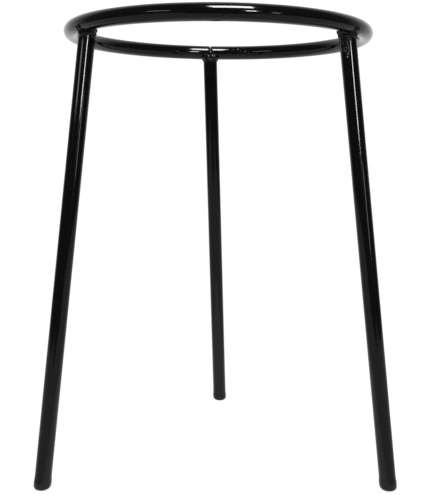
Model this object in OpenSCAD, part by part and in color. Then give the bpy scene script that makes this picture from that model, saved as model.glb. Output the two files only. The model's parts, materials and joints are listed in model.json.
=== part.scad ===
// Laboratory tripod stand: a bent and butt-welded ring of round steel bar on three splayed legs,
// each leg coped to the underside of the ring and held there by a rippled weld bead.
// Millimetres. +Z is up, the bench is z = 0 and the ring is centred on the Z axis.
// Directions round the stand are degrees from the front (-Y), positive towards +X.

/* [Ring] */
// Diameter of the ring at the middle of its bar
ring_d = 150; // [120:1:190]
// Diameter of the round bar that the ring is bent from
ring_bar_d = 8; // [6:0.1:12]

/* [Legs] */
// Overall height, from the bench to the top of the ring
stand_h = 228.6; // [150:0.1:320]
// Diameter of the circle that the feet stand on
foot_circle_d = 196.4; // [190:0.1:260]
// Diameter of the round bar that the legs are cut from
leg_bar_d = 8.2; // [6:0.1:12]
// How far the leg tops sit inside the middle of the ring's bar
leg_inset = 3; // [1:0.1:3.6]
// How far the leg tops are notched over the ring's underside
leg_cope = 1.4; // [0.8:0.1:2]
// Direction of the left leg's top
left_top_deg = -59.2; // [-66:0.1:-54]
// Direction of the left leg's foot
left_foot_deg = -59.5; // [-66:0.1:-54]
// Direction of the right leg's top
right_top_deg = 57.1; // [54:0.1:66]
// Direction of the right leg's foot
right_foot_deg = 61; // [54:0.1:66]
// Direction of the rear leg's top
rear_top_deg = 183.8; // [174:0.1:186]
// Direction of the rear leg's foot
rear_foot_deg = 178; // [174:0.1:186]

/* [Feet] */
// Radius that rounds the edge of each foot
foot_round = 2; // [1:0.1:2.4]
// How far the enamel swells out of the leg just above the foot
foot_swell = 0.25; // [0.1:0.05:0.4]
// Height of the fullest part of that swelling
foot_swell_z = 3.4; // [3:0.1:8]
// Length of leg that the swelling covers
foot_swell_l = 6; // [4:0.1:9]

/* [Leg welds] */
// Radius of a ripple of the bead
bead_r = 2.5; // [2.2:0.1:2.8]
// Radius of the ripples over the inner edge of the leg's end
bead_inner_r = 2.9; // [2.6:0.1:3.4]
// How far the ripples' middles sit inside the leg's outer side
bead_outer_sink = 1.2; // [0.6:0.1:1.6]
// How far the ripples' middles sit inside the leg's two flanks
bead_flank_sink = 1.1; // [0.6:0.1:1.6]
// How far the ripples' middles sit inside the leg's inner side
bead_inner_sink = 1.7; // [1.2:0.1:2.2]
// How far the ripples' middles hang below the ring's underside
bead_drop = 1; // [0.6:0.1:1.4]
// Unevenness of the ripples, as a share of their radius
bead_uneven = 0.08; // [0:0.01:0.12]
// How far the fuller side of each bead runs down its leg
bead_run = 1.2; // [0:0.1:1.8]

/* [Ring joint] */
// Gap between the two ends of the bent bar, filled by the butt weld
joint_gap = 1.2; // [0.8:0.1:2.4]
// Height that the butt weld stands out of the bar on the ring's inner side
joint_cap = 0.5; // [0.3:0.05:0.8]
// Depth that the butt weld stays below the bar on the ring's outer side
joint_sink = 0.3; // [0.1:0.05:0.5]
// Width of the notch left in the top of the joint
joint_notch_w = 1.8; // [1.4:0.1:3]
// Depth of the notch left in the top of the joint
joint_notch_h = 1.1; // [0.6:0.1:1.6]

/* [Hidden] */
$fn = 96;

LEFT = 0;
RIGHT = 1;
REAR = 2;
top_deg = [left_top_deg, right_top_deg, rear_top_deg];
foot_deg = [left_foot_deg, right_foot_deg, rear_foot_deg];

// Share of a foot's rounding that lies outside the swollen leg
foot_spare = 0.25;

ring_r = ring_d / 2;
ring_bar_r = ring_bar_d / 2;
ring_z = stand_h - ring_bar_r;
leg_bar_r = leg_bar_d / 2;
leg_top_r = ring_r - leg_inset;
foot_circle_r = foot_circle_d / 2;
foot_r = leg_bar_r + foot_swell + foot_spare * foot_round;
leg_end_z = ring_z - ring_bar_r + leg_cope;

// Ripples round each bead, and how far round, as shares of a ripple, the first one starts
bead_ripples = 9;
bead_start = 0.35;
// Steepest part of the bar's underside that a bead is laid against, as a share of its radius
bead_reach = 0.8;
// Each bead is fuller on the side that was welded last: left, right and rear leg, in degrees
// round the leg from the stand's outer side
bead_full_deg = [130, -120, -70];
// Relative size of each bead
bead_size = [1.08, 1, 1];
// The unevenness runs in slow and quick waves round a bead, shifted by this angle from leg to leg
slow_waves = 3;
quick_waves = 7;
wave_shift = 70;
// Direction of a ripple's own seam from the stand's outer side, clear of the ripples beside it
ripple_seam_deg = 107;

enamel = [0.1, 0.1, 0.095];
weld_enamel = [0.13, 0.13, 0.125];

// A point given by its distance from the stand's axis, its direction and its height
function at(r, deg, z) = [r * sin(deg), -r * cos(deg), z];

// Both ends of a leg's axis, and the unit vector from the foot to the top
function foot_point(i) = at(foot_circle_r, foot_deg[i], 0);
function top_point(i) = at(leg_top_r, top_deg[i], ring_z);
function leg_run(i) = top_point(i) - foot_point(i);
function leg_tilt(i) = acos(leg_run(i).z / norm(leg_run(i)));
function leg_turn(i) = atan2(leg_run(i).y, leg_run(i).x);

// A bead is an uneven loop of ripples round the top of its leg. The ripples' middles lie inside
// the leg, so that the bead stands out of it as a low band.
bead_outer_r = leg_top_r + leg_bar_r - bead_outer_sink;
bead_inner_edge_r = leg_top_r - leg_bar_r + bead_inner_sink;
bead_mid_r = (bead_outer_r + bead_inner_edge_r) / 2;
bead_half_depth = (bead_outer_r - bead_inner_edge_r) / 2;
bead_half_width = leg_bar_r - bead_flank_sink;

// Height of the bar's underside at a distance from the stand's axis
function underside_z(r) =
    ring_z - sqrt(pow(ring_bar_r, 2) - pow(min(abs(r - ring_r), bead_reach * ring_bar_r), 2));

// How full the bead is on the side that was welded last, from 0 to 1
function fullness(i, deg) = pow(max(0, cos(deg - bead_full_deg[i])), 2);

function ripple_size(i, deg) =
    let (inner = (1 - cos(deg)) / 2,
         base = bead_r + (bead_inner_r - bead_r) * pow(inner, 2))
    bead_size[i] * base
        * (1 + bead_uneven * sin(slow_waves * deg + wave_shift * i) * cos(quick_waves * deg));

// Middle of a ripple, in a frame whose Y axis points straight in to the stand's axis
function ripple_point(i, deg) =
    let (r = bead_mid_r + bead_half_depth * cos(deg))
    [bead_half_width * sin(deg), -r, underside_z(r) - bead_drop - bead_run * fullness(i, deg)];

module bar_loop() {
    translate([0, 0, ring_z])
        rotate_extrude() translate([ring_r, 0]) circle(ring_bar_r);
}

// Places its children on the bar's middle at the joint: X along the bar, Y in to the axis
module at_joint() {
    rotate([0, 0, top_deg[REAR]]) translate([0, -ring_r, ring_z]) children();
}

module joint_notch() {
    at_joint()
        rotate([90, 0, 0])
            linear_extrude(ring_bar_d, center = true)
                polygon([[0, ring_bar_r - joint_notch_h],
                         [joint_notch_w, ring_bar_r + joint_notch_h],
                         [-joint_notch_w, ring_bar_r + joint_notch_h]]);
}

// The butt weld is a ball on the bar's middle, drawn in towards the inside of the ring
module joint_ball() {
    at_joint()
        translate([0, (joint_cap + joint_sink) / 2, 0])
            sphere(ring_bar_r + (joint_cap - joint_sink) / 2);
}

// The leg's whole bar, from below the bench to its square-cut upper end
module leg_bar(i) {
    below = leg_bar_d;
    swell_arc_r = (pow(foot_swell_l / 2, 2) + pow(foot_swell, 2)) / (2 * foot_swell);
    translate(foot_point(i)) rotate([0, leg_tilt(i), leg_turn(i)]) {
        translate([0, 0, -below])
            cylinder(h = below + leg_end_z / cos(leg_tilt(i)), r = leg_bar_r);
        translate([0, 0, foot_swell_z])
            rotate_extrude()
                intersection() {
                    translate([leg_bar_r + foot_swell - swell_arc_r, 0]) circle(swell_arc_r);
                    translate([0, -foot_swell_l]) square([leg_bar_d, 2 * foot_swell_l]);
                }
    }
}

// Everything above the bench that a leg may fill: it rounds the foot's edge and leaves a level flat
module foot_form(i) {
    lean = foot_circle_r - leg_top_r + leg_bar_d;
    translate([foot_point(i).x, foot_point(i).y, 0])
        rotate_extrude() {
            square([foot_r - foot_round, foot_round]);
            translate([foot_r - foot_round, foot_round]) circle(foot_round);
            translate([0, foot_round]) square([2 * lean, stand_h]);
        }
}

module leg(i) {
    color(enamel)
        difference() {
            intersection() {
                leg_bar(i);
                foot_form(i);
            }
            bar_loop();
        }
}

module bead(i) {
    rotate([0, 0, top_deg[i]])
        for (k = [0 : bead_ripples - 1]) {
            deg = (k + bead_start) * 360 / bead_ripples;
            translate(ripple_point(i, deg))
                rotate([0, 0, ripple_seam_deg + deg])
                    sphere(ripple_size(i, deg));
        }
}

module ring() {
    color(enamel)
        difference() {
            bar_loop();
            at_joint() cube([joint_gap, 2 * ring_bar_d, 2 * ring_bar_d], center = true);
            joint_notch();
        }
}

module ring_joint_weld() {
    color(weld_enamel)
        difference() {
            joint_ball();
            ring();
            joint_notch();
            leg_bar(REAR);
        }
}

module weld(i) {
    color(weld_enamel)
        difference() {
            bead(i);
            bar_loop();
            leg_bar(i);
            if (i == REAR) joint_ball();
        }
}

module leg_left() { leg(LEFT); }
module leg_right() { leg(RIGHT); }
module leg_rear() { leg(REAR); }
module weld_left() { weld(LEFT); }
module weld_right() { weld(RIGHT); }
module weld_rear() { weld(REAR); }

ring();
ring_joint_weld();
leg_left();
leg_right();
leg_rear();
weld_left();
weld_right();
weld_rear();
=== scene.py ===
"""Looks of a black enamelled laboratory tripod stand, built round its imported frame.

The stand is a ring of round steel bar on three splayed legs, welded together and dipped in gloss
enamel. Every piece is a mesh in the frame's own place, in metres, with +Z up and the bench at
z = 0. Directions round the stand run from the front (-Y), positive towards +X. Fields named
direction are in degrees.
"""

import json
import logging
import math
from collections.abc import Iterable, Sequence
from dataclasses import dataclass, field
from enum import Enum
from typing import Any

import bpy
from bpy.types import ID, Material, Node, NodeSocket, NodeTree, Object
from mathutils import Matrix, Vector

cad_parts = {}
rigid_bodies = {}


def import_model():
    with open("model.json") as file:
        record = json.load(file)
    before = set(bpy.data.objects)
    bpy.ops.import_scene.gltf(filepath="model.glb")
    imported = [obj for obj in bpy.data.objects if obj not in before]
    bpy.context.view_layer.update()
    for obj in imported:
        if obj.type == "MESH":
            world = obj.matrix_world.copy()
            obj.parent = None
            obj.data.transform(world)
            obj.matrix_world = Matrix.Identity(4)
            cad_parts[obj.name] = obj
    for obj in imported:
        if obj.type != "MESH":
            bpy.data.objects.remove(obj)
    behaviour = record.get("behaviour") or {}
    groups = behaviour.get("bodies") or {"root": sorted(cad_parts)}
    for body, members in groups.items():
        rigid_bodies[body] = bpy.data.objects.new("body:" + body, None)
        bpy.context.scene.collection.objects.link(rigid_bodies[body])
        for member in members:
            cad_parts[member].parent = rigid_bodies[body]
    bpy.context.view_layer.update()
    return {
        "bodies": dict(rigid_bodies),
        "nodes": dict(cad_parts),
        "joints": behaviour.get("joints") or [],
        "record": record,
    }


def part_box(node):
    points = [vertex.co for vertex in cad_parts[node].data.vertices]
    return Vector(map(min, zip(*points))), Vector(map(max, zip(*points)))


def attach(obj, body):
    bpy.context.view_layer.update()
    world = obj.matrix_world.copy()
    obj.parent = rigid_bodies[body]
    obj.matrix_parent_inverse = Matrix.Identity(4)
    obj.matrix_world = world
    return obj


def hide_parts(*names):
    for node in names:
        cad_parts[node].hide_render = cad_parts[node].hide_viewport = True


LOG = logging.getLogger("tripod_stand")
MM = 0.001
BODY = "root"


class Side(Enum):
    """The three places where a leg stands."""

    LEFT = "left"
    RIGHT = "right"
    REAR = "rear"


class Graph:
    """A node tree under construction, for shaders and for geometry alike."""

    def __init__(self, tree: NodeTree) -> None:
        """Starts on an empty tree.

        Args:
            tree: the tree that nodes are added to.
        """
        self.tree = tree
        tree.nodes.clear()

    def add(self, kind: str, feeds: dict[str | int, Any] | None = None, **settings: Any) -> Node:
        """Adds one node.

        Args:
            kind: the node's type name.
            feeds: a value or a socket for each named or numbered input.
            **settings: properties to set on the node.

        Returns:
            The new node.
        """
        node = self.tree.nodes.new(kind)
        for name, value in settings.items():
            setattr(node, name, value)
        for name, value in (feeds or {}).items():
            self.feed(self.pick(node.inputs, name), value)
        return node

    def pick(self, sockets: Any, name: str | int) -> NodeSocket:
        """Finds a socket of a node among those in use.

        Args:
            sockets: the node's inputs or its outputs.
            name: the socket's name, or its number.

        Returns:
            The socket.
        """
        if isinstance(name, int):
            return sockets[name]
        return next(socket for socket in sockets if socket.enabled and socket.name == name)

    def feed(self, socket: NodeSocket, value: Any) -> None:
        """Joins a socket to an input, or sets the input's own value.

        Args:
            socket: the input.
            value: another node's output, or a plain value.
        """
        if isinstance(value, NodeSocket):
            self.tree.links.new(value, socket)
        else:
            socket.default_value = value

    def math(self, operation: str, *values: Any) -> NodeSocket:
        """Adds one Math node.

        Args:
            operation: the node's operation.
            *values: sockets or numbers, in the order of its inputs.

        Returns:
            The result.
        """
        return self.add("ShaderNodeMath", dict(enumerate(values)), operation=operation).outputs[0]

    def ramp(
        self, value: Any, over: tuple[Any, Any], gives: tuple[Any, Any], kind: str = "SMOOTHSTEP"
    ) -> NodeSocket:
        """Adds one Map Range node.

        Args:
            value: the number that it reads.
            over: the range that it reads.
            gives: the range that it puts out.
            kind: how it goes from one end to the other.

        Returns:
            The result.
        """
        names = ("Value", "From Min", "From Max", "To Min", "To Max")
        feeds = dict(zip(names, (value, *over, *gives)))
        return self.add("ShaderNodeMapRange", feeds, interpolation_type=kind).outputs["Result"]

    def declare(self, in_out: str, kind: str, *names: str) -> None:
        """Declares sockets of the tree, all of one type.

        Args:
            in_out: INPUT or OUTPUT.
            kind: the sockets' type name.
            *names: their names, in order.
        """
        for name in names:
            self.tree.interface.new_socket(name=name, in_out=in_out, socket_type=kind)


def blank_material(name: str) -> tuple[Material, Graph]:
    """Makes a material without nodes.

    Args:
        name: the material's name.

    Returns:
        The material, and a graph on its empty tree.
    """
    material = bpy.data.materials.new(name)
    material.use_nodes = True
    return material, Graph(material.node_tree)


def shown(name: str, data: ID) -> Object:
    """Makes an object and puts it in the scene.

    Args:
        name: the object's name.
        data: its mesh, light or camera.

    Returns:
        The object.
    """
    made = bpy.data.objects.new(name, data)
    bpy.context.scene.collection.objects.link(made)
    return made


def baked(piece: Object, place: Matrix, finish: Material) -> Object:
    """Turns a piece and its modifiers into a plain smooth mesh that sits at the origin.

    Args:
        piece: the object with its live modifiers.
        place: where the mesh goes in the frame.
        finish: the material of the whole mesh.

    Returns:
        The plain piece, under the same name.
    """
    name = piece.name
    graph = bpy.context.evaluated_depsgraph_get()
    mesh = bpy.data.meshes.new_from_object(piece.evaluated_get(graph))
    bpy.data.objects.remove(piece)
    mesh.transform(place)
    mesh.materials.clear()
    mesh.materials.append(finish)
    mesh.name = name
    mesh.shade_smooth()
    return shown(name, mesh)


def wire(name: str, runs: Iterable[tuple[Sequence[Vector], bool, float]]) -> Object:
    """Makes an object of bare edges, which a geometry tree turns into bars and beads.

    Args:
        name: the object's name.
        runs: each run's points, whether it closes on itself, and the radius of its bar in metres.

    Returns:
        The object, with the radii in its point attribute bar_radius.
    """
    points: list[Vector] = []
    edges: list[tuple[int, int]] = []
    radii: list[float] = []
    for run, closed, radius in runs:
        first = len(points)
        points += run
        radii += [radius] * len(run)
        edges += [(first + i, first + i + 1) for i in range(len(run) - 1)]
        if closed:
            edges.append((first + len(run) - 1, first))
    mesh = bpy.data.meshes.new(name)
    mesh.from_pydata(points, edges, [])
    mesh.attributes.new("bar_radius", "FLOAT", "POINT").data.foreach_set("value", radii)
    return shown(name, mesh)


def compass(point: Vector) -> float:
    """Direction of a point round the stand, in radians from the front."""
    return math.atan2(point.x, -point.y)


def around(turn: float, radius: float, height: float = 0.0) -> Vector:
    """Point in a direction round the stand, in radians from the front."""
    return Vector((radius * math.sin(turn), -radius * math.cos(turn), height))


def middle_of(node: Object) -> Vector:
    """Middle of a node's surface, every part weighted by its area.

    Args:
        node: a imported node, whose mesh lies in the frame.

    Returns:
        The middle, in metres.
    """
    total = Vector()
    area = 0.0
    for face in node.data.polygons:
        total += face.area * face.center
        area += face.area
    return total / area


# --------------------
# Finishes

SAG_DETAIL = 1.0
PEEL_DETAIL = 2.0
CLOUD_SOFTNESS = 0.1


def film_group() -> NodeTree:
    """Builds the shader group of a dipped enamel film, shared by all the finishes.

    Returns:
        A group that puts out the film's colour, roughness and normal.
    """
    graph = Graph(bpy.data.node_groups.new("enamel film", "ShaderNodeTree"))
    graph.declare("INPUT", "NodeSocketColor", "Film", "Bloom")
    numbers = ("Gloss", "Haze", "Peel per metre", "Peel depth", "Sag per metre", "Sag depth")
    graph.declare("INPUT", "NodeSocketFloat", *numbers)
    graph.declare("OUTPUT", "NodeSocketColor", "Colour")
    graph.declare("OUTPUT", "NodeSocketFloat", "Roughness")
    graph.declare("OUTPUT", "NodeSocketVector", "Normal")
    given = graph.add("NodeGroupInput").outputs
    place = graph.add("ShaderNodeTexCoord").outputs["Object"]

    def noise(scale: NodeSocket, detail: float) -> NodeSocket:
        """Adds a noise on the film and returns its value."""
        node = graph.add("ShaderNodeTexNoise", {"Vector": place, "Scale": scale, "Detail": detail})
        return node.outputs["Fac"]

    sag = noise(given["Sag per metre"], SAG_DETAIL)
    peel = noise(given["Peel per metre"], PEEL_DETAIL)
    cloud = graph.math("SMOOTH_MIN", graph.math("MULTIPLY", sag, peel), 1.0, CLOUD_SOFTNESS)
    sagging = graph.math("MULTIPLY", sag, given["Sag depth"])
    height = graph.math("ADD", sagging, graph.math("MULTIPLY", peel, given["Peel depth"]))
    bump = graph.add("ShaderNodeBump", {"Height": height, "Strength": 1.0, "Distance": 1.0})
    colours = {"Factor": cloud, "A": given["Film"], "B": given["Bloom"]}
    colour = graph.add("ShaderNodeMix", colours, data_type="RGBA")
    roughness = graph.math("MULTIPLY_ADD", cloud, given["Haze"], given["Gloss"])
    film = {
        "Colour": graph.pick(colour.outputs, "Result"),
        "Roughness": roughness,
        "Normal": bump.outputs["Normal"],
    }
    graph.add("NodeGroupOutput", film)
    return graph.tree


@dataclass(frozen=True)
class EnamelFinish:
    """Gloss black enamel, as it lies on one kind of surface."""

    name: str
    film: tuple[float, float, float] = (0.0012, 0.0012, 0.0011)
    bloom: tuple[float, float, float] = (0.003, 0.003, 0.0027)
    gloss: float = 0.07
    haze: float = 0.06
    peel_size: float = 3 * MM
    peel_depth: float = 0.004 * MM
    sag_size: float = 16 * MM
    sag_depth: float = 0.03 * MM
    ior: float = 1.33

    def material(self, film: NodeTree) -> Material:
        """Builds the material.

        Args:
            film: the shared enamel film group.

        Returns:
            The finished material.
        """
        material, graph = blank_material(self.name)
        coat = {
            "Film": (*self.film, 1.0),
            "Bloom": (*self.bloom, 1.0),
            "Gloss": self.gloss,
            "Haze": self.haze,
            "Peel per metre": 1 / self.peel_size,
            "Peel depth": self.peel_depth,
            "Sag per metre": 1 / self.sag_size,
            "Sag depth": self.sag_depth,
        }
        skin = graph.add("ShaderNodeGroup", coat, node_tree=film)
        enamel = {
            "Base Color": skin.outputs["Colour"],
            "Roughness": skin.outputs["Roughness"],
            "Normal": skin.outputs["Normal"],
            "IOR": self.ior,
        }
        shader = graph.add("ShaderNodeBsdfPrincipled", enamel)
        graph.add("ShaderNodeOutputMaterial", {"Surface": shader.outputs[0]})
        return material


BAR_ENAMEL = EnamelFinish("bar_enamel")
BEAD_ENAMEL = EnamelFinish(
    "bead_enamel", gloss=0.08, haze=0.08, peel_size=0.9 * MM, peel_depth=0.012 * MM, sag_size=4 * MM
)
JOINT_ENAMEL = EnamelFinish(
    "joint_enamel", gloss=0.24, haze=0.16, peel_size=0.7 * MM, peel_depth=0.02 * MM, sag_size=4 * MM
)


# --------------------
# Geometry trees

NOISE_MIDDLE = 0.5
STUB_SIDES = 48
RIPPLE_FINENESS = 4


def add_unevenness(
    graph: Graph, skin: NodeSocket, size: NodeSocket, depth: NodeSocket, share: Any
) -> NodeSocket:
    """Moves a surface in and out a little, as a dipped coat does.

    Args:
        graph: the geometry graph.
        skin: the surface.
        size: how far apart the swellings lie, in metres.
        depth: how far the surface moves, in metres.
        share: how much of that each point gets, from 0 to 1.

    Returns:
        The uneven surface.
    """
    place = graph.add("GeometryNodeInputPosition").outputs[0]
    scale = graph.math("DIVIDE", 1.0, size)
    noise = graph.add("ShaderNodeTexNoise", {"Vector": place, "Scale": scale})
    level = graph.math("SUBTRACT", noise.outputs[0], NOISE_MIDDLE)
    move = graph.math("MULTIPLY", graph.math("MULTIPLY", level, depth), share)
    normal = graph.add("GeometryNodeInputNormal").outputs[0]
    offset = graph.add("ShaderNodeVectorMath", {0: normal, "Scale": move}, operation="SCALE")
    moved = graph.add("GeometryNodeSetPosition", {"Geometry": skin, "Offset": offset.outputs[0]})
    return moved.outputs[0]


def finished(graph: Graph, skin: NodeSocket, given: Any) -> None:
    """Ends a geometry tree in plain faces with their finish.

    Args:
        graph: the geometry graph.
        skin: the surface.
        given: the outputs of the tree's input node.
    """
    faces = graph.add("GeometryNodeRealizeInstances", {0: skin})
    smooth = graph.add("GeometryNodeSetShadeSmooth", {0: faces.outputs[0]})
    painted = {"Geometry": smooth.outputs[0], "Material": given["Finish"]}
    finish = graph.add("GeometryNodeSetMaterial", painted)
    graph.add("NodeGroupOutput", {"Geometry": finish.outputs[0]})


def geometry_graph(name: str, count: str, *sizes: str) -> Graph:
    """Starts a geometry tree that takes a geometry, a finish and some named numbers.

    Args:
        name: the tree's name.
        count: the name of its one whole number.
        *sizes: the names of its other numbers.

    Returns:
        The graph, with its sockets declared.
    """
    graph = Graph(bpy.data.node_groups.new(name, "GeometryNodeTree"))
    graph.declare("OUTPUT", "NodeSocketGeometry", "Geometry")
    graph.declare("INPUT", "NodeSocketGeometry", "Geometry")
    graph.declare("INPUT", "NodeSocketMaterial", "Finish")
    graph.declare("INPUT", "NodeSocketInt", count)
    graph.declare("INPUT", "NodeSocketFloat", *sizes)
    return graph


def swept(graph: Graph, curve: NodeSocket, radius: Any, sides: Any) -> NodeSocket:
    """Sweeps a round bar along a curve.

    Args:
        graph: the geometry graph.
        curve: the curve to follow.
        radius: the bar's radius at each point of it.
        sides: the number of faces round the bar.

    Returns:
        The bar's surface, closed at its ends.
    """
    outline = graph.add("GeometryNodeCurvePrimitiveCircle", {"Resolution": sides, "Radius": 1.0})
    bar = {"Curve": curve, "Profile Curve": outline.outputs[0], "Scale": radius, "Fill Caps": True}
    return graph.add("GeometryNodeCurveToMesh", bar).outputs[0]


def leg_tree() -> NodeTree:
    """Builds the tree of a leg: an upright round bar on the bench with a rounded, swollen foot.

    Returns:
        The geometry tree.
    """
    foot = ("Foot rounding", "Foot swell", "Swell height", "Swell length")
    coat = ("Coat start", "Coat full", "Coat size", "Coat depth")
    graph = geometry_graph("leg bar", "Sides", "Bar radius", *foot, *coat)
    given = graph.add("NodeGroupInput").outputs
    curve = graph.add("GeometryNodeMeshToCurve", {"Mesh": given["Geometry"]}).outputs[0]
    place = graph.add("GeometryNodeInputPosition").outputs[0]
    height = graph.add("ShaderNodeSeparateXYZ", {0: place}).outputs["Z"]

    above = graph.math("SUBTRACT", height, given["Swell height"])
    away = graph.math("DIVIDE", above, given["Swell length"])
    bulge = graph.math("EXPONENT", graph.math("MULTIPLY", graph.math("MULTIPLY", away, away), -1.0))
    swelling = graph.math("MULTIPLY", bulge, given["Foot swell"])
    low = graph.math("MAXIMUM", graph.math("SUBTRACT", given["Foot rounding"], height), 0.0)
    whole = graph.math("MULTIPLY", given["Foot rounding"], given["Foot rounding"])
    left = graph.math("SUBTRACT", whole, graph.math("MULTIPLY", low, low))
    rounded = graph.math("SQRT", graph.math("MAXIMUM", left, 0.0))
    swollen = graph.math("ADD", given["Bar radius"], swelling)
    core = graph.math("SUBTRACT", swollen, given["Foot rounding"])
    bar = swept(graph, curve, graph.math("ADD", core, rounded), given["Sides"])

    coated = (given["Coat start"], given["Coat full"])
    share = graph.ramp(height, coated, (0.0, 1.0), "LINEAR")
    uneven = add_unevenness(graph, bar, given["Coat size"], given["Coat depth"], share)
    finished(graph, uneven, given)
    return graph.tree


def ring_tree() -> NodeTree:
    """Builds the tree of the ring: a bent round bar with a soft V notch in the top of its joint.

    The joint is at the front (-Y) of the tree's own frame.

    Returns:
        The geometry tree.
    """
    notch = ("Notch width", "Notch depth", "Notch softness")
    spatter = ("Spatter middle", "Spatter reach", "Spatter size", "Spatter height")
    sizes = ("Ring radius", "Bar radius", "Coat size", "Coat depth")
    graph = geometry_graph("ring bar", "Sides", *sizes, *notch, *spatter)
    given = graph.add("NodeGroupInput").outputs
    curve = graph.add("GeometryNodeMeshToCurve", {"Mesh": given["Geometry"]}).outputs[0]
    bar = swept(graph, curve, given["Bar radius"], given["Sides"])
    swollen = add_unevenness(graph, bar, given["Coat size"], given["Coat depth"], 1.0)

    place = graph.add("GeometryNodeInputPosition").outputs[0]
    axes = graph.add("ShaderNodeSeparateXYZ", {0: place}).outputs
    off = graph.math("ABSOLUTE", graph.math("SUBTRACT", axes["X"], given["Spatter middle"]))
    near = graph.math("SUBTRACT", 1.0, graph.math("DIVIDE", off, given["Spatter reach"]))
    level = graph.add("ShaderNodeCombineXYZ", {"X": axes["X"], "Y": axes["Y"]}).outputs[0]
    out = graph.add("ShaderNodeVectorMath", {0: level}, operation="LENGTH").outputs["Value"]
    within = graph.math("SUBTRACT", given["Ring radius"], out)
    inward = graph.math("MAXIMUM", graph.math("DIVIDE", within, given["Bar radius"]), 0.0)
    front = graph.math("MULTIPLY", graph.math("LESS_THAN", axes["Y"], 0.0), inward)
    beside = graph.math("MULTIPLY", front, graph.math("MAXIMUM", near, 0.0))
    uneven = add_unevenness(graph, swollen, given["Spatter size"], given["Spatter height"], beside)

    fall = graph.math("MULTIPLY", given["Notch depth"], 2.0)
    slope = graph.math("DIVIDE", fall, given["Notch width"])
    lowest = graph.math("SUBTRACT", given["Bar radius"], given["Notch depth"])
    floor = graph.math("MULTIPLY_ADD", graph.math("ABSOLUTE", axes["X"]), slope, lowest)
    # On the far half of the ring the limit is a metre higher, out of the way.
    limit = graph.math("ADD", floor, graph.math("GREATER_THAN", axes["Y"], 0.0))
    top = graph.math("SMOOTH_MIN", axes["Z"], limit, given["Notch softness"])
    cut = graph.add("ShaderNodeCombineXYZ", {"X": axes["X"], "Y": axes["Y"], "Z": top}).outputs[0]
    notched = graph.add("GeometryNodeSetPosition", {"Geometry": uneven, "Position": cut}).outputs[0]
    finished(graph, notched, given)
    return graph.tree


def bead_tree() -> NodeTree:
    """Builds the tree of a weld bead: ripples along a path, on stubs of the bars that they join.

    A run of points with a bar radius becomes a stub, and a run without one becomes a bead.

    Returns:
        The geometry tree.
    """
    ripple = ("Ripple pitch", "Ripple length", "Ripple slant")
    graph = geometry_graph("weld bead", "Seed", *ripple, "Unevenness")
    given = graph.add("NodeGroupInput").outputs
    runs = graph.add("GeometryNodeMeshToCurve", {"Mesh": given["Geometry"]}).outputs[0]

    def stored(name: str) -> NodeSocket:
        """Reads a number that is stored on the points."""
        node = graph.add("GeometryNodeInputNamedAttribute", {"Name": name}, data_type="FLOAT")
        return node.outputs[0]

    radius = stored("bar_radius")
    is_bar = graph.math("GREATER_THAN", radius, 0.0)
    choice = {"Geometry": runs, "Selection": is_bar}
    parted = graph.add("GeometryNodeSeparateGeometry", choice, domain="POINT").outputs
    stubs = swept(graph, parted["Selection"], radius, STUB_SIDES)

    even = {"Curve": parted["Inverted"], "Length": given["Ripple pitch"]}
    steps = graph.add("GeometryNodeResampleCurve", even, mode="LENGTH").outputs[0]
    low = graph.math("SUBTRACT", 1.0, given["Unevenness"])
    high = graph.math("ADD", 1.0, given["Unevenness"])
    draw = {"Min": low, "Max": high, "Seed": given["Seed"]}
    chance = graph.add("FunctionNodeRandomValue", draw, data_type="FLOAT")
    scale = graph.math("MULTIPLY", stored("ripple_radius"), graph.pick(chance.outputs, "Value"))
    along = graph.add("GeometryNodeInputTangent").outputs[0]
    slant = graph.add("ShaderNodeCombineXYZ", {"Z": given["Ripple slant"]}).outputs[0]
    slanted = graph.add("ShaderNodeVectorMath", {0: along, 1: slant}, operation="ADD").outputs[0]
    turn = graph.add("FunctionNodeAlignRotationToVector", {"Vector": slanted}, axis="Z").outputs[0]
    long = graph.math("MULTIPLY", scale, given["Ripple length"])
    shape = graph.add("ShaderNodeCombineXYZ", {"X": scale, "Y": scale, "Z": long}).outputs[0]
    unit = {"Radius": 1.0, "Subdivisions": RIPPLE_FINENESS}
    ball = graph.add("GeometryNodeMeshIcoSphere", unit).outputs[0]
    spread = {"Points": steps, "Instance": ball, "Rotation": turn, "Scale": shape}
    ripples = graph.add("GeometryNodeInstanceOnPoints", spread).outputs[0]
    both = graph.add("GeometryNodeJoinGeometry")
    graph.tree.links.new(stubs, both.inputs[0])
    graph.tree.links.new(ripples, both.inputs[0])
    finished(graph, both.outputs[0], given)
    return graph.tree


# --------------------
# Pieces of the stand

SOFTENING = 0.5
SOFT_PASSES = 3


class Piece:
    """A piece of the stand, which a geometry tree makes out of a wire."""

    def lay_out(self) -> Object:
        """Lays out the piece's wire."""
        raise NotImplementedError

    def place(self) -> Matrix:
        """Matrix from the wire's own frame to the stand's."""
        return Matrix.Identity(4)

    def soften(self, piece: Object) -> None:
        """Leaves the piece as the tree makes it."""

    def build(self, tree: NodeTree, finish: Material) -> Object:
        """Makes the piece.

        Args:
            tree: the geometry tree, whose inputs take the piece's fields of the same names.
            finish: the material.

        Returns:
            The finished piece, as a plain mesh in the frame.
        """
        piece = self.lay_out()
        modifier = piece.modifiers.new(tree.name, "NODES")
        modifier.node_group = tree
        for item in tree.interface.items_tree:
            if item.in_out == "INPUT" and item.socket_type != "NodeSocketGeometry":
                name = item.name.lower().replace(" ", "_")
                modifier[item.identifier] = finish if name == "finish" else getattr(self, name)
        self.soften(piece)
        return baked(piece, self.place(), finish)


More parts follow.
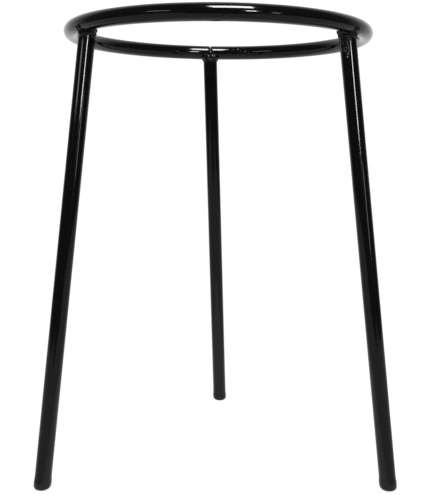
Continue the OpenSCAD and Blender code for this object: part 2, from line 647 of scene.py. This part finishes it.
@dataclass(frozen=True)
class Layout:
    """Where everything is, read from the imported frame, in metres."""

    ring_radius: float
    ring_bar_radius: float
    ring_height: float
    joint: float
    feet: dict[Side, Vector]
    leans: dict[Side, Vector]

    @classmethod
    def read(cls, frame: dict[str, Any]) -> "Layout":
        """Reads the sizes and places that the pieces share.

        Args:
            frame: the loaded frame.

        Returns:
            The layout.
        """
        low, high = (Vector(corner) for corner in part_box("ring"))
        bar_radius = (high.z - low.z) / 2
        mounts = {mount["name"]: mount["pos_m"] for mount in frame["record"]["mounts"]}
        feet = {side: Vector(mounts[f"foot_{side.value}"]) for side in Side}
        leans = {}
        for side, foot in feet.items():
            rise = middle_of(frame["nodes"][f"leg_{side.value}"]) - foot
            leans[side] = rise / rise.z
        weld_low, weld_high = (Vector(corner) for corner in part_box("ring_joint_weld"))
        return cls(
            ring_radius=(high.x - low.x) / 2 - bar_radius,
            ring_bar_radius=bar_radius,
            ring_height=(high.z + low.z) / 2,
            joint=compass((weld_low + weld_high) / 2),
            feet=feet,
            leans=leans,
        )

    @property
    def ring_middle(self) -> Vector:
        """Middle of the ring."""
        return Vector((0.0, 0.0, self.ring_height))

    @property
    def ring_bottom(self) -> float:
        """Height of the ring's lowest line."""
        return self.ring_height - self.ring_bar_radius

    @property
    def ring_place(self) -> Matrix:
        """Matrix from a frame on the ring's middle, with the joint in front, to the stand's."""
        return Matrix.Translation(self.ring_middle) @ Matrix.Rotation(self.joint, 4, "Z")

    def leg_at(self, side: Side, height: float) -> Vector:
        """Point of a leg's axis at a height above the bench."""
        return self.feet[side] + self.leans[side] * height


@dataclass
class RingBar(Piece):
    """The ring, bent from round bar and notched at its joint."""

    layout: Layout
    sides: int = 64
    fine_step: float = 0.12 * MM
    coarse_step: float = 2 * MM
    growth: float = 1.12
    notch_width: float = 1.8 * MM
    notch_depth: float = 1.1 * MM
    notch_softness: float = 0.25 * MM
    coat_size: float = 30 * MM
    coat_depth: float = 0.12 * MM
    spatter_step: float = 0.4 * MM
    spatter_middle: float = -18 * MM
    spatter_reach: float = 9 * MM
    spatter_size: float = 1.5 * MM
    spatter_height: float = 0.9 * MM

    @property
    def ring_radius(self) -> float:
        """Radius of the ring's middle line."""
        return self.layout.ring_radius

    @property
    def bar_radius(self) -> float:
        """Radius of the ring's bar."""
        return self.layout.ring_bar_radius

    def stations(self) -> list[float]:
        """Angles of the bar's cross-sections, close together at the joint and wider away from it.

        Returns:
            Angles from the joint, in radians, in order round the ring.
        """
        half: list[float] = []
        step = self.fine_step
        run = 0.0
        while run < math.pi * self.ring_radius:
            half.append(run / self.ring_radius)
            if run > self.notch_width:
                beside = run < self.spatter_reach - self.spatter_middle
                step = min(step * self.growth, self.spatter_step if beside else self.coarse_step)
            run += step
        return half + [-angle for angle in reversed(half[1:])]

    def lay_out(self) -> Object:
        """Lays out the ring's middle line, with the joint in front."""
        path = [around(angle, self.ring_radius) for angle in self.stations()]
        return wire("bent_ring", [(path, True, self.bar_radius)])

    def place(self) -> Matrix:
        """Matrix that lifts the ring to its height and turns its joint to the rear leg."""
        return self.layout.ring_place


@dataclass
class Leg(Piece):
    """One straight leg of round bar, whose plain top ends out of sight inside the ring.

    top_share is how far below the ring's middle it ends, as a share of the ring bar's radius.
    """

    layout: Layout
    side: Side
    bar_radius: float = 4.1 * MM
    sides: int = 64
    foot_rounding: float = 2 * MM
    foot_swell: float = 0.25 * MM
    swell_height: float = 3.4 * MM
    swell_length: float = 2.4 * MM
    foot_rings: int = 24
    foot_part: float = 8 * MM
    step: float = 3 * MM
    top_share: float = 0.5
    coat_start: float = 1 * MM
    coat_full: float = 6 * MM
    coat_size: float = 26 * MM
    coat_depth: float = 0.12 * MM

    def heights(self) -> list[float]:
        """Heights of the leg's cross-sections, close together at the foot.

        Returns:
            Heights above the bench, in metres, from the foot up.
        """
        low = [self.foot_part * (k / self.foot_rings) ** 2 for k in range(self.foot_rings)]
        top = self.layout.ring_height - self.layout.ring_bar_radius * self.top_share
        rest = top - self.foot_part
        count = math.ceil(rest / self.step)
        return low + [self.foot_part + rest * k / count for k in range(count + 1)]

    def place(self) -> Matrix:
        """Matrix that leans an upright bar on its foot and keeps its cross-section round.

        Returns:
            A shear to the foot's place, stretched across the lean.
        """
        lean = self.layout.leans[self.side]
        foot = self.layout.feet[self.side]
        wider = lean.length - 1
        across = Vector((lean.x, lean.y)).normalized()
        both = wider * across.x * across.y
        rows = [
            [1 + wider * across.x**2, both, lean.x, foot.x],
            [both, 1 + wider * across.y**2, lean.y, foot.y],
            [0.0, 0.0, 1.0, 0.0],
            [0.0, 0.0, 0.0, 1.0],
        ]
        return Matrix(rows)

    def lay_out(self) -> Object:
        """Lays out the leg's axis, upright on the origin."""
        path = [Vector((0.0, 0.0, height)) for height in self.heights()]
        return wire(f"{self.side.value}_leg_bar", [(path, False, self.bar_radius)])


class Weld(Piece):
    """A weld bead, melted into one skin with soft inner corners."""

    grain: float

    def rippled(self, piece: Object, radii: list[float]) -> Object:
        """Marks a wire with its ripples.

        Args:
            piece: the wire that the bead follows.
            radii: radius of the ripples at each of its points, or zero on a bar.

        Returns:
            The same wire.
        """
        ripples = piece.data.attributes.new("ripple_radius", "FLOAT", "POINT")
        ripples.data.foreach_set("value", radii)
        return piece

    def soften(self, piece: Object) -> None:
        """Melts the ripples together.

        Args:
            piece: the bead, with its geometry tree.
        """
        skin = piece.modifiers.new("one skin", "REMESH")
        skin.mode = "VOXEL"
        skin.voxel_size = self.grain
        soft = piece.modifiers.new("soft corners", "SMOOTH")
        soft.factor = SOFTENING
        soft.iterations = SOFT_PASSES


def eased(values: tuple[float, ...], angle: float) -> float:
    """Blends values that stand at even steps round a circle.

    Args:
        values: the values, the first at angle 0.
        angle: where to read them, in radians.

    Returns:
        The value at the angle, eased between its two neighbours.
    """
    place = angle / math.tau * len(values)
    low = math.floor(place)
    share = (1.0 - math.cos(math.pi * (place - low))) / 2
    return values[low % len(values)] * (1.0 - share) + values[(low + 1) % len(values)] * share


@dataclass(frozen=True)
class Fillet:
    """The shape of a bead, in millimetres at each eighth of a turn, from the leg's outer side.

    The steps run anticlockwise as seen from above. proud is how far the bead stands out of the
    leg, and climb how far it is drawn up and outwards over the ring.
    """

    proud: tuple[float, ...]
    climb: tuple[float, ...]


@dataclass
class LegWeld(Weld):
    """The rippled bead round the top of one leg, with the enamel that runs down from it.

    depth is how far its lowest row hangs below the ring's underside. crown, flank, toe and core
    are the radii of the ripples in its four rows. The crown stands out of the leg by the
    fillet's whole size, and the flank and toe by a share of it. A drip is a direction and a
    length. The bead flows onto a thin rod and a piece of leg, which reach stub from the leg's
    top and lie sink inside the bars.
    """

    layout: Layout
    side: Side
    fillet: Fillet
    leg_radius: float = 4.1 * MM
    seed: int = 1
    drips: tuple[tuple[float, float], ...] = ()
    depth: float = 3.2 * MM
    ripple_pitch: float = 1.15 * MM
    ripple_length: float = 0.62
    ripple_slant: float = 0.55
    unevenness: float = 0.06
    crown: float = 1.9 * MM
    crown_rise: float = 0.2 * MM
    flank: float = 1.6 * MM
    flank_proud: float = 0.5
    toe: float = 1.3 * MM
    toe_proud: float = 0.12
    core: float = 3 * MM
    core_drop: float = 1.2 * MM
    outward: float = 0.95
    reach: float = 0.6
    drip: float = 0.8 * MM
    drip_proud: float = 0.32 * MM
    drip_points: int = 12
    drip_sway: float = 0.12
    drip_waves: float = 9.0
    drip_girth: float = 1.2
    drip_swell: float = 0.15
    sink: float = 0.07 * MM
    stub: float = 12 * MM
    stub_radius: float = 2.4 * MM
    stub_steps: int = 12
    grain: float = 0.15 * MM
    path_points: int = 72

    def underside(self, point: Vector) -> float:
        """Height of the ring's underside over a point.

        Args:
            point: the point, in the frame.

        Returns:
            The height above the bench, which stays level past the bar's flank.
        """
        bar = self.layout.ring_bar_radius
        radius = (point - self.layout.ring_middle).to_2d().length
        off = min(abs(radius - self.layout.ring_radius), self.reach * bar)
        return self.layout.ring_height - math.sqrt(bar**2 - off**2)

    def loop(self, ripple: float, share: float, drop: float) -> tuple[list[Vector], list[float]]:
        """Works out one run of ripples round the leg's top.

        Args:
            ripple: the ripples' radius.
            share: how much of the fillet's own size this run stands out of the leg.
            drop: how far the ripples' middles hang below the ring's underside.

        Returns:
            The run's points, and the radius of the ripples at each.
        """
        top = self.layout.leg_at(self.side, self.layout.ring_bottom)
        out = top.to_2d().to_3d().normalized()
        ahead = Vector((0.0, 0.0, 1.0)).cross(out)
        points: list[Vector] = []
        for k in range(self.path_points):
            angle = math.tau * k / self.path_points
            off = self.leg_radius + share * MM * eased(self.fillet.proud, angle) - ripple
            climb = share * MM * eased(self.fillet.climb, angle)
            drawn = self.outward * climb
            point = top + out * (off * math.cos(angle) + drawn) + ahead * off * math.sin(angle)
            point.z = self.underside(point - out * drawn) - drop + climb
            points.append(point)
        return points, [ripple] * self.path_points

    def drip_path(self, direction: float, length: float) -> tuple[list[Vector], list[float]]:
        """Works out a drip of enamel that has run down the leg from the bead.

        Args:
            direction: the side of the leg that it is on, in degrees round the stand's compass.
            length: how far it runs below the ring, in metres.

        Returns:
            The drip's points from the bead down, and its thickness at each.
        """
        turn = math.radians(direction)
        out = self.leg_radius + self.drip_proud - self.drip
        start = self.layout.ring_bottom
        points: list[Vector] = []
        radii: list[float] = []
        for k in range(self.drip_points):
            share = k / (self.drip_points - 1)
            sway = self.drip_sway * math.sin(self.drip_waves * share + direction)
            middle = self.layout.leg_at(self.side, start - share * length)
            points.append(middle + out * around(turn + sway, 1.0))
            radii.append(self.drip * (self.drip_girth + self.drip_swell * share**3))
        return points, radii

    def ring_stub(self) -> list[Vector]:
        """Works out a thin rod along the ring's underside, which the bead flows onto.

        Returns:
            The points of its middle line.
        """
        middle = self.layout.ring_middle
        turn = compass(self.layout.leg_at(self.side, middle.z) - middle)
        radius = self.layout.ring_radius
        low = self.stub_radius + self.sink - self.layout.ring_bar_radius
        steps = [k / self.stub_steps - 1 for k in range(2 * self.stub_steps + 1)]
        return [middle + around(turn + self.stub / radius * step, radius, low) for step in steps]

    def leg_stub(self) -> list[Vector]:
        """Works out the short piece of leg that the bead flows onto.

        Returns:
            The points of its middle line.
        """
        top = self.layout.ring_bottom
        heights = [top - self.stub * k / self.stub_steps for k in range(self.stub_steps + 1)]
        return [self.layout.leg_at(self.side, height) for height in heights]

    def lay_out(self) -> Object:
        """Lays out the bead's rows, its drips and the stubs that they flow onto.

        Returns:
            The wire.
        """
        rows = (
            (self.crown, 1.0, -self.crown_rise),
            (self.flank, self.flank_proud, self.depth / 2),
            (self.toe, self.toe_proud, self.depth),
            (self.core, 0.0, self.core_drop),
        )
        loops = [self.loop(*row) for row in rows]
        drips = [self.drip_path(*drip) for drip in self.drips]
        runs = [(points, True, 0.0) for points, _ in loops]
        runs += [(points, False, 0.0) for points, _ in drips]
        bars = [(points, False, self.drip) for points, _ in drips]
        bars.append((self.ring_stub(), False, self.stub_radius))
        bars.append((self.leg_stub(), False, self.leg_radius - self.sink))
        radii = [radius for _, ripples in loops + drips for radius in ripples]
        radii += [0.0] * sum(len(points) for points, _, _ in bars)
        return self.rippled(wire(f"{self.side.value}_leg_bead", runs + bars), radii)


LEFT_FILLET = Fillet(
    proud=(0.8, 2.4, 1.5, 0.8, 0.8, 0.6, 0.6, 0.3), climb=(0.2, 1.8, 1.2, 0.0, 0.0, 0.0, 0.0, 0.0)
)
RIGHT_FILLET = Fillet(
    proud=(1.0, 0.6, 0.6, 0.7, 0.9, 1.2, 1.3, 2.4), climb=(1.2, 0.2, 0.0, 0.0, 0.0, 0.0, 0.4, 1.7)
)
REAR_FILLET = Fillet(
    proud=(0.8, 1.0, 1.6, 0.8, 0.2, 0.8, 1.5, 1.0), climb=(1.0, 0.5, 0.0, 0.0, 0.0, 0.0, 0.0, 0.5)
)
RIGHT_DRIPS = ((-17, 11 * MM), (-37, 8 * MM), (-60, 6.5 * MM))


@dataclass
class JointWeld(Weld):
    """The butt weld that closes the ring, a low rippled band on the bar's inner side.

    first and last are degrees round the bar, from level, upwards.
    """

    layout: Layout
    seed: int = 5
    bead: float = 1.9 * MM
    proud: float = 0.7 * MM
    first: float = -60.0
    last: float = 34.0
    ripple_pitch: float = 0.8 * MM
    ripple_length: float = 0.6
    ripple_slant: float = 0.0
    unevenness: float = 0.05
    grain: float = 0.12 * MM
    path_points: int = 40

    def path(self) -> list[Vector]:
        """Middle of the band, up the ring's inner side from its underside.

        Returns:
            The points, in the frame.
        """
        reach = self.layout.ring_bar_radius + self.proud - self.bead
        place = self.layout.ring_place
        points = []
        for k in range(self.path_points):
            past = (self.last - self.first) * k / (self.path_points - 1)
            angle = math.radians(self.first + past)
            inward = self.layout.ring_radius - reach * math.cos(angle)
            points.append(place @ Vector((0.0, -inward, reach * math.sin(angle))))
        return points

    def lay_out(self) -> Object:
        """Lays out the band as one run of even ripples."""
        piece = wire("ring_joint_bead", [(self.path(), False, 0.0)])
        return self.rippled(piece, [self.bead] * self.path_points)


# --------------------
# Studio

WHITE = (1.0, 1.0, 1.0, 1.0)


class Reach(Enum):
    """What the light of a lamp reaches."""

    COLOUR = "colour"
    GLOSS = "gloss"


@dataclass
class Lamp:
    """A softbox, placed and sized by its angles in degrees as seen from the stand."""

    name: str
    direction: float
    elevation: float
    width: float
    height: float
    radiance: float
    reach: Reach = Reach.GLOSS
    distance: float = 2.2

    def build(self, aim: Vector) -> None:
        """Makes the lamp.

        Args:
            aim: the point that it faces.
        """
        turn, rise = math.radians(self.direction), math.radians(self.elevation)
        out = around(turn, math.cos(rise), math.sin(rise))
        spans = (math.radians(self.width), math.radians(self.height))
        wide, high = (2 * self.distance * math.tan(span / 2) for span in spans)
        data = bpy.data.lights.new(self.name, "AREA")
        data.shape = "RECTANGLE"
        data.size = wide
        data.size_y = high
        data.energy = self.radiance * math.pi * wide * high
        lamp = shown(self.name, data)
        lamp.location = aim + out * self.distance
        lamp.rotation_euler = out.to_track_quat("Z", "Y").to_euler()
        lamp.visible_camera = False
        lamp.visible_diffuse = self.reach is Reach.COLOUR
        lamp.visible_glossy = self.reach is Reach.GLOSS


@dataclass
class PaintedReflectionFlag:
    """A glowing surround in front and at the sides, which only the enamel's gloss sees; its glow is
    painted reflection.

    It starts as a grey card on the floor in front of the feet, which paints a dimmer floor into the
    reflections as painted shade, and goes on as a dark half dome, which paints a dim room. Towards
    its ends it glows brighter and paints bright reflections at the ring's ends.
    """

    card_level: float = 0.66
    dark_level: float = 0.12
    end_level: float = 0.85
    end_start: float = 92.0
    inner_radius: float = 0.108
    dome_radius: float = 2.6
    half_turn: float = 142.0
    front_card: float = 0.45
    side_card: float = 0.85
    front_turn: float = 17.0
    side_turn: float = 30.0
    card_edge: float = 0.05
    parts: int = 71
    rows: int = 16
    top: float = 140.0
    lift: float = 0.002

    def ring_of(self, turn: float) -> list[Vector]:
        """Works out the flag in one direction, from the feet out and up over the stand.

        Args:
            turn: the direction, in radians from the front.

        Returns:
            The points of its outline there.
        """
        flats = [self.inner_radius, self.front_card, self.side_card, self.dome_radius]
        profile = [(flat, self.lift) for flat in flats]
        for row in range(1, self.rows):
            rise = math.radians(self.top * row / (self.rows - 1))
            height = self.lift + self.dome_radius * math.sin(rise)
            profile.append((self.dome_radius * math.cos(rise), height))
        return [around(turn, flat, height) for flat, height in profile]

    def material(self) -> Material:
        """Builds the glowing material, which paints the reflections: the card's painted shade of
        the floor near the feet, a dark glow further out, and a brighter painted reflection towards
        the ends.

        Returns:
            The finished material.
        """
        material, graph = blank_material("flag_cloth")
        place = graph.add("ShaderNodeTexCoord").outputs["Object"]
        axes = graph.add("ShaderNodeSeparateXYZ", {0: place}).outputs
        ahead = graph.math("MULTIPLY", axes["Y"], -1.0)
        turn = graph.math("ABSOLUTE", graph.math("ARCTAN2", axes["X"], ahead))
        sides = (math.radians(self.front_turn), math.radians(self.side_turn))
        card = graph.ramp(turn, sides, (self.front_card, self.side_card))
        reach = graph.add("ShaderNodeVectorMath", {0: place}, operation="LENGTH").outputs["Value"]
        past = graph.math("DIVIDE", graph.math("SUBTRACT", reach, card), self.card_edge)
        # Painted reflection: the card near the feet glows at card_level, painting a shaded floor
        # into the gloss, and the dome beyond it glows at dark_level.
        level = graph.ramp(past, (-1.0, 1.0), (self.card_level, self.dark_level))
        ends = (math.radians(self.end_start), math.radians(self.half_turn))
        # Painted reflection: the dome glows brighter towards its ends, painting bright reflections
        # at the ring's ends.
        lit = graph.math("MAXIMUM", level, graph.ramp(turn, ends, (0.0, self.end_level)))
        glow = graph.add("ShaderNodeEmission", {"Color": WHITE, "Strength": lit})
        graph.add("ShaderNodeOutputMaterial", {"Surface": glow.outputs[0]})
        return material

    def build(self) -> None:
        """Makes the flag, seen only in reflections: unseen by the camera and by diffuse rays, and
        without a shadow.
        """
        points: list[Vector] = []
        for k in range(self.parts + 1):
            points += self.ring_of(math.radians(self.half_turn * (2 * k / self.parts - 1)))
        rows = len(points) // (self.parts + 1)
        faces = [
            (a, a + 1, a + rows + 1, a + rows)
            for k in range(self.parts)
            for a in range(k * rows, k * rows + rows - 1)
        ]
        # A glowing sheet that only glossy rays see: it paints the enamel's reflections.
        flag = panel("dim_flag", points, faces, self.material())
        flag.visible_camera = False
        flag.visible_diffuse = False
        flag.visible_shadow = False


def panel(
    name: str, points: list[Vector], faces: list[tuple[int, ...]], material: Material
) -> Object:
    """Makes one surface of the studio.

    Args:
        name: the surface's name.
        points: its corners.
        faces: its faces.
        material: its material.

    Returns:
        The surface.
    """
    mesh = bpy.data.meshes.new(name)
    mesh.from_pydata(points, [], faces)
    mesh.materials.append(material)
    made = shown(name, mesh)
    return made


def seen_or_mirrored(graph: Graph) -> NodeSocket:
    """Mask of the rays that look at the paper itself, straight or in a reflection.

    Args:
        graph: the shader graph.

    Returns:
        One on those rays, zero on the rays that carry light.
    """
    path = graph.add("ShaderNodeLightPath").outputs
    return graph.math("MAXIMUM", path["Is Camera Ray"], path["Is Glossy Ray"])


@dataclass
class Studio:
    """The pale floor and surround, the lamps and the flag whose glow paints the enamel's
    reflections.
    """

    paper: float = 1.045
    paper_share: float = 0.9
    floor_colour: tuple[float, float, float] = (0.9, 0.9, 0.9)
    floor_size: float = 8.0
    fill: float = 0.45
    aim_height: float = 0.21
    lamps: list[Lamp] = field(
        default_factory=lambda: [
            Lamp("soft_light", 12, 58, 40, 40, radiance=6, reach=Reach.COLOUR, distance=5),
            Lamp("overhead_face", 11.5, 52.5, 24, 23, radiance=46),
            Lamp("side_strip", 22, 8.8, 7, 7.6, radiance=52),
            Lamp("left_strip", -42, 13, 16, 5.5, radiance=6.5),
            Lamp("right_strip", 39, 0.9, 6, 6.8, radiance=7),
        ]
    )

    def build_world(self) -> None:
        """Surrounds the stand with white paper that gives a plain soft light."""
        world = bpy.data.worlds.new("white_surround")
        world.use_nodes = True
        graph = Graph(world.node_tree)
        seen = seen_or_mirrored(graph)
        strength = graph.math("MULTIPLY_ADD", seen, self.paper - self.fill, self.fill)
        shade = graph.add("ShaderNodeBackground", {"Color": WHITE, "Strength": strength})
        graph.add("ShaderNodeOutputWorld", {"Surface": shade.outputs[0]})
        bpy.context.scene.world = world

    def build_floor(self) -> None:
        """Lays the pale floor, which keeps a soft shadow."""
        material, graph = blank_material("floor_paper")
        plain = graph.add("ShaderNodeBsdfDiffuse", {"Color": (*self.floor_colour, 1.0)})
        white = graph.add("ShaderNodeEmission", {"Color": WHITE, "Strength": self.paper})
        share = graph.math("MULTIPLY", seen_or_mirrored(graph), self.paper_share)
        mix = graph.add("ShaderNodeMixShader", {0: share, 1: plain.outputs[0], 2: white.outputs[0]})
        graph.add("ShaderNodeOutputMaterial", {"Surface": mix.outputs[0]})
        half = self.floor_size / 2
        signs = ((-1, -1), (1, -1), (1, 1), (-1, 1))
        corners = [Vector((x * half, y * half, 0.0)) for x, y in signs]
        panel("floor", corners, [(0, 1, 2, 3)], material)

    def build(self) -> None:
        """Sets up the world, the floor, the flag and the lamps."""
        self.build_world()
        self.build_floor()
        PaintedReflectionFlag().build()
        aim = Vector((0.0, 0.0, self.aim_height))
        for lamp in self.lamps:
            lamp.build(aim)


@dataclass
class Camera:
    """The camera, a little below the ring and close to the stand."""

    place: tuple[float, float, float] = (-0.00133, -0.43579, 0.1656)
    yaw: float = -0.0044
    pitch: float = -0.1178
    roll: float = 0.0092
    lens: float = 59.67
    nearest: float = 10 * MM

    def build(self) -> None:
        """Makes the camera and looks through it."""
        yaw, pitch, roll = self.yaw, self.pitch, self.roll
        flat = math.cos(pitch)
        ahead = Vector((-math.sin(yaw) * flat, math.cos(yaw) * flat, math.sin(pitch)))
        level = Vector((math.cos(yaw), math.sin(yaw), 0.0))
        upright = level.cross(ahead)
        right = level * math.cos(roll) + upright * math.sin(roll)
        up = upright * math.cos(roll) - level * math.sin(roll)
        data = bpy.data.cameras.new("camera")
        data.lens = self.lens
        data.clip_start = self.nearest
        camera = shown("camera", data)
        axes = Matrix((right, up, -ahead)).transposed().to_4x4()
        camera.matrix_world = Matrix.Translation(self.place) @ axes
        bpy.context.scene.camera = camera


# --------------------
# Assembly


def stand_in(piece: Object, node: str) -> None:
    """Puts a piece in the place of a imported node.

    Args:
        piece: the finished piece.
        node: the node that it replaces.
    """
    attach(piece, BODY)
    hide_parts(node)
    LOG.info("%s stands for %s, %d faces", piece.name, node, len(piece.data.polygons))


def main() -> None:
    """Builds the stand and its studio."""
    logging.basicConfig(level=logging.INFO, format="%(name)s: %(message)s")
    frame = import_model()
    layout = Layout.read(frame)
    LOG.info("the ring's middle is %.2f mm up", layout.ring_height / MM)

    film = film_group()
    bar_enamel = BAR_ENAMEL.material(film)
    bead_enamel = BEAD_ENAMEL.material(film)
    joint_enamel = JOINT_ENAMEL.material(film)
    ring_bars, leg_bars, beads = ring_tree(), leg_tree(), bead_tree()

    stand_in(RingBar(layout).build(ring_bars, bar_enamel), "ring")
    for side in Side:
        stand_in(Leg(layout, side).build(leg_bars, bar_enamel), f"leg_{side.value}")
    welds = [
        LegWeld(layout, Side.LEFT, LEFT_FILLET, seed=3, ripple_length=0.75),
        LegWeld(layout, Side.RIGHT, RIGHT_FILLET, seed=8, drips=RIGHT_DRIPS),
        LegWeld(layout, Side.REAR, REAR_FILLET, seed=12, depth=2 * MM, ripple_length=0.8),
    ]
    for weld in welds:
        stand_in(weld.build(beads, bead_enamel), f"weld_{weld.side.value}")
    stand_in(JointWeld(layout).build(beads, joint_enamel), "ring_joint_weld")

    Studio().build()
    Camera().build()
    bpy.context.scene.view_settings.view_transform = "Standard"


if __name__ == "__main__":
    main()
